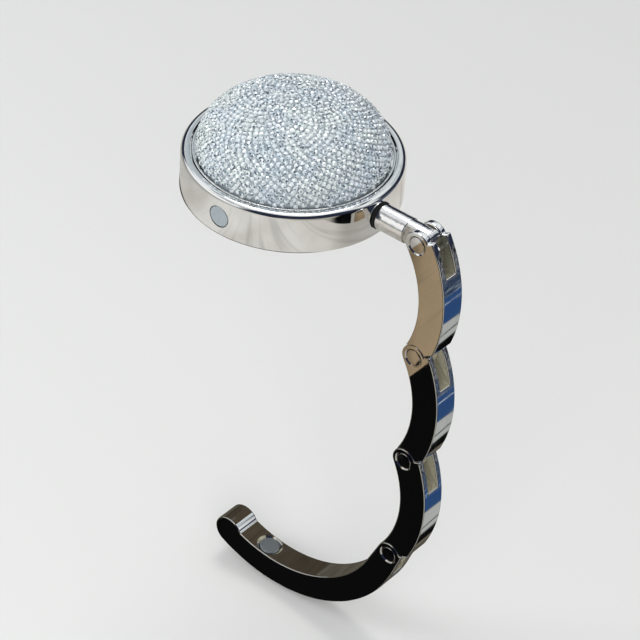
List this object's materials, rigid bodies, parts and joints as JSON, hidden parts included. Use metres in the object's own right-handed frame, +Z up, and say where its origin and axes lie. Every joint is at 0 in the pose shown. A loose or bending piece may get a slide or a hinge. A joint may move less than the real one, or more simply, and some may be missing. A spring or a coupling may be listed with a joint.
{
  "type": "purse hook",
  "caption": "Folding table hook for a bag: a round weighted case with a stone-set dome, a swivel neck and curved links ending in a hooked arm.",
  "frame": {"origin": "centre of the pad's underside, where the case stands on the table", "axes": "+Z up out of the dome, +X along the neck over the table's edge, +Y across the links; the chain hangs in the XZ plane"},
  "size_m": [0.0653, 0.045, 0.124],
  "materials": {
    "chrome": "mirror-polished plate",
    "rubber": "matt non-slip rubber",
    "resin": "cast resin, hidden under the stones",
    "stones": "foil-backed faceted stones set close together",
    "magnet": "plated magnet, satin",
    "steel": "plain spring steel"
  },
  "bodies": {
    "case": {"case_body": "chrome", "rubber_pad": "rubber", "dome_tray": "chrome", "dome_core": "resin", "stone_crust": "stones", "case_magnet": "magnet", "neck_washer": "rubber"},
    "swivel": {"swivel_neck": "chrome", "retaining_washer": "steel", "retaining_clip": "steel"},
    "upper": {"link_upper": "chrome", "hinge_pin_1": "chrome"},
    "middle": {"link_middle": "chrome", "hinge_pin_2": "chrome"},
    "lower": {"link_lower": "chrome", "hinge_pin_3": "chrome"},
    "hook": {"hook_arm": "chrome", "hinge_pin_4": "chrome", "arm_magnet": "magnet"}
  },
  "joints": [
    {"name": "neck_swivel", "type": "hinge", "parent": "case", "child": "swivel", "pos_m": [0.0225, 0, 0.0047], "axis": [1, 0, 0], "range_deg": [-270, 90]},
    {"name": "upper_hinge", "type": "hinge", "parent": "swivel", "child": "upper", "pos_m": [0.0338, 0, 0.0047], "axis": [0, 1, 0], "range_deg": [0, 44.5]},
    {"name": "middle_hinge", "type": "hinge", "parent": "upper", "child": "middle", "pos_m": [0.03564, 0, -0.02224], "axis": [0, 1, 0], "range_deg": [0, 38.5]},
    {"name": "lower_hinge", "type": "hinge", "parent": "middle", "child": "lower", "pos_m": [0.03582, 0, -0.04924], "axis": [0, 1, 0], "range_deg": [0, 49.5]},
    {"name": "arm_hinge", "type": "hinge", "parent": "lower", "child": "hook", "pos_m": [0.03436, 0, -0.0762], "axis": [0, 1, 0], "range_deg": [0, 34.5]}
  ]
}
